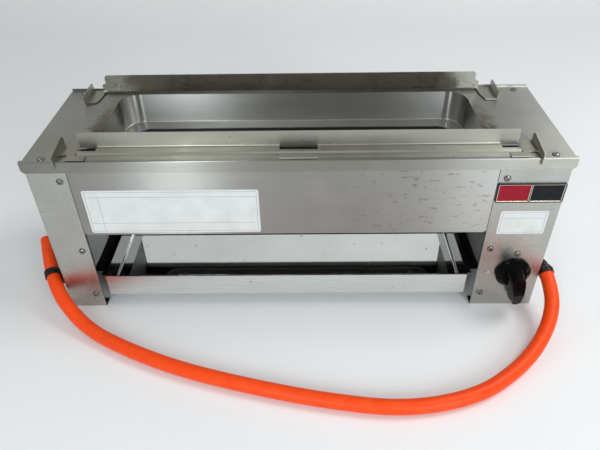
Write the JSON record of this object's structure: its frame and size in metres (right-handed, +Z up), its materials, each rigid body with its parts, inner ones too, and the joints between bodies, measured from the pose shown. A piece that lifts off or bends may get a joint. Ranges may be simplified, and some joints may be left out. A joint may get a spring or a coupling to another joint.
{
  "type": "gas skewer grill",
  "caption": "Tabletop gas grill for skewers: long stainless box on two leg boxes, cooking chamber over a burner, lift-off skewer rails, pull-out water tray, lever valve and orange hose",
  "frame": {"origin": "on the table, under the middle of the grill's bounding box without the hose and the fittings it hangs on", "axes": "+X along the grill to the user's right, +Y to the back, +Z up; the user stands on the -Y side"},
  "size_m": [0.6185, 0.3239, 0.229],
  "materials": {
    "stainless": "fine grain, slightly warm",
    "polished": "polished stainless",
    "burner": "heat-dulled steel",
    "zinc": "zinc-plated",
    "brass": "machined",
    "black_knob": "glossy black with a dark red mark",
    "hose_rubber": "orange, satin",
    "black_trim": "matte black",
    "badge": "glossy, bare",
    "screw_steel": "bright"
  },
  "bodies": {
    "casing": {"top_plate": "stainless", "left_housing": "stainless", "right_housing": "stainless", "front_panel": "stainless", "rear_panel": "stainless", "left_inner_wall": "stainless", "right_inner_wall": "stainless", "left_runner": "stainless", "right_runner": "stainless", "chamber_liner": "polished", "chamber_skirt": "polished", "front_left_bracket": "polished", "front_right_bracket": "polished", "rear_left_bracket": "polished", "rear_right_bracket": "polished", "rail_clip": "polished", "burner_tube": "burner", "burner_bracket_left": "stainless", "burner_bracket_right": "stainless", "mixer_tube": "zinc", "air_shutter": "zinc", "gas_jet": "brass", "gas_pipe": "zinc", "valve_body": "brass", "inlet_pipe": "zinc", "gas_inlet_elbow": "brass", "gas_hose": "hose_rubber", "hose_clip_right": "black_trim", "hose_holder_left": "black_trim", "badge_plate": "badge", "front_screws": "screw_steel", "rear_screws": "screw_steel", "lid_screws": "screw_steel", "valve_screws": "screw_steel", "panel_plug": "screw_steel"},
    "knob": {"control_knob": "black_knob", "valve_stem": "brass"},
    "tray": {"water_tray": "stainless"},
    "front_rail": {"front_skewer_rail": "polished"},
    "rear_rail": {"rear_skewer_rail": "polished"},
    "cover": {"flame_cover": "burner"}
  },
  "joints": [
    {"name": "knob_turn", "type": "hinge", "parent": "casing", "child": "knob", "pos_m": [0.2457, -0.07025, 0.0526], "axis": [0, -1, 0], "range_deg": [-10, 80]},
    {"name": "tray_pull", "type": "slide", "parent": "casing", "child": "tray", "axis": [0, -1, 0], "range_m": [0, 0.12]},
    {"name": "front_rail_lift", "type": "slide", "parent": "casing", "child": "front_rail", "axis": [0, 0, 1], "range_m": [0, 0.04]},
    {"name": "rear_rail_lift", "type": "slide", "parent": "casing", "child": "rear_rail", "axis": [0, 0, 1], "range_m": [0, 0.04]},
    {"name": "cover_lift", "type": "slide", "parent": "casing", "child": "cover", "axis": [0, 0, 1], "range_m": [0, 0.07]}
  ]
}
